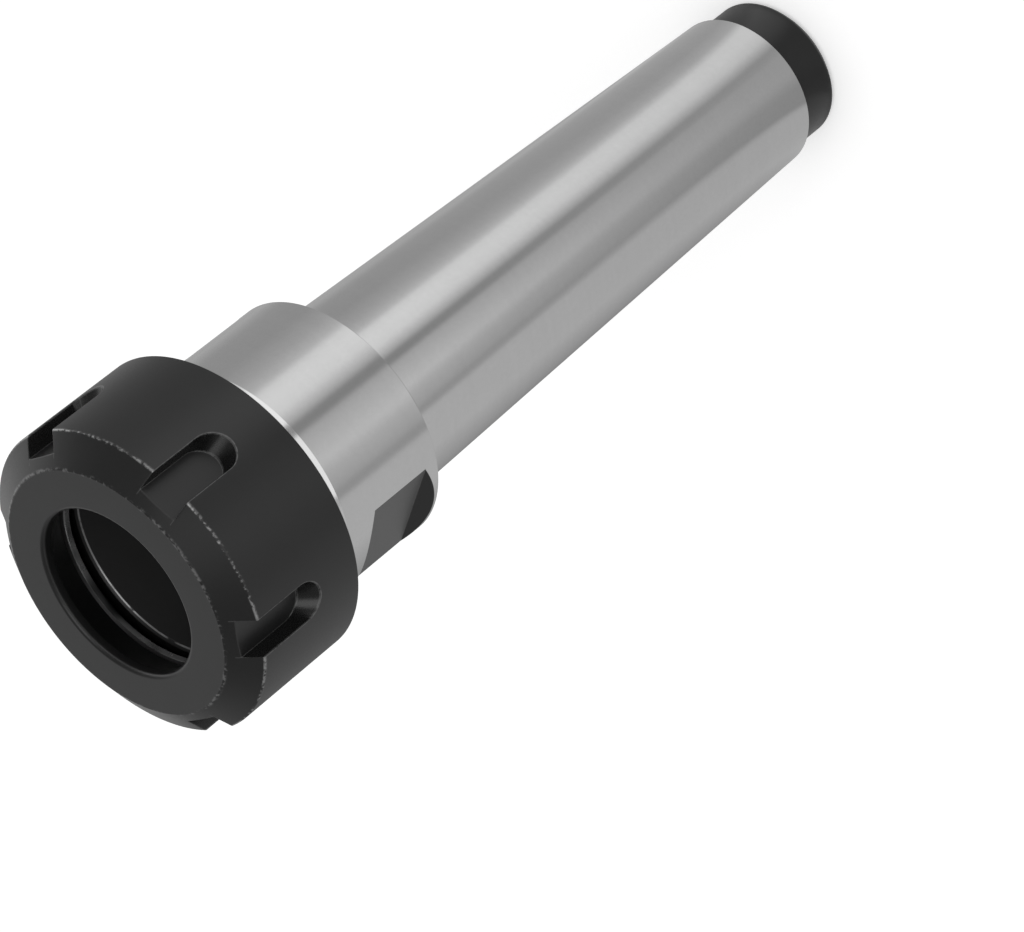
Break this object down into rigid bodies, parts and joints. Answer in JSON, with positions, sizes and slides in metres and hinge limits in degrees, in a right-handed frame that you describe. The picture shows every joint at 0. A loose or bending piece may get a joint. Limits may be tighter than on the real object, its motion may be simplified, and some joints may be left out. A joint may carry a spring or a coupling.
{
  "type": "collet chuck holder",
  "caption": "Collet chuck on a Morse taper shank: a one-piece turned steel body with a taper collet seat, spanner flats and a drawbar thread, and a slotted clamping nut screwed on its nose.",
  "frame": {"origin": "centre of the tail's end face, which is the foot the chuck stands on", "axes": "+Z along the common axis from the tail to the clamping nut; +X and -X are the normals of the two spanner flats"},
  "size_m": [0.05, 0.05, 0.156],
  "materials": {
    "ground_steel": "ground bright steel on the taper and collar; black oxide on the tail stub and the spanner flats",
    "black_oxide_steel": "satin black oxide with the steel showing along worn edges"
  },
  "bodies": {
    "holder": {"chuck_body": "ground_steel"},
    "nut": {"clamping_nut": "black_oxide_steel"}
  },
  "joints": [
    {"name": "nut_turn", "type": "hinge", "parent": "holder", "child": "nut", "pos_m": [0, 0, 0.1396], "axis": [0, 0, 1], "range_deg": [-120, 3216]}
  ]
}
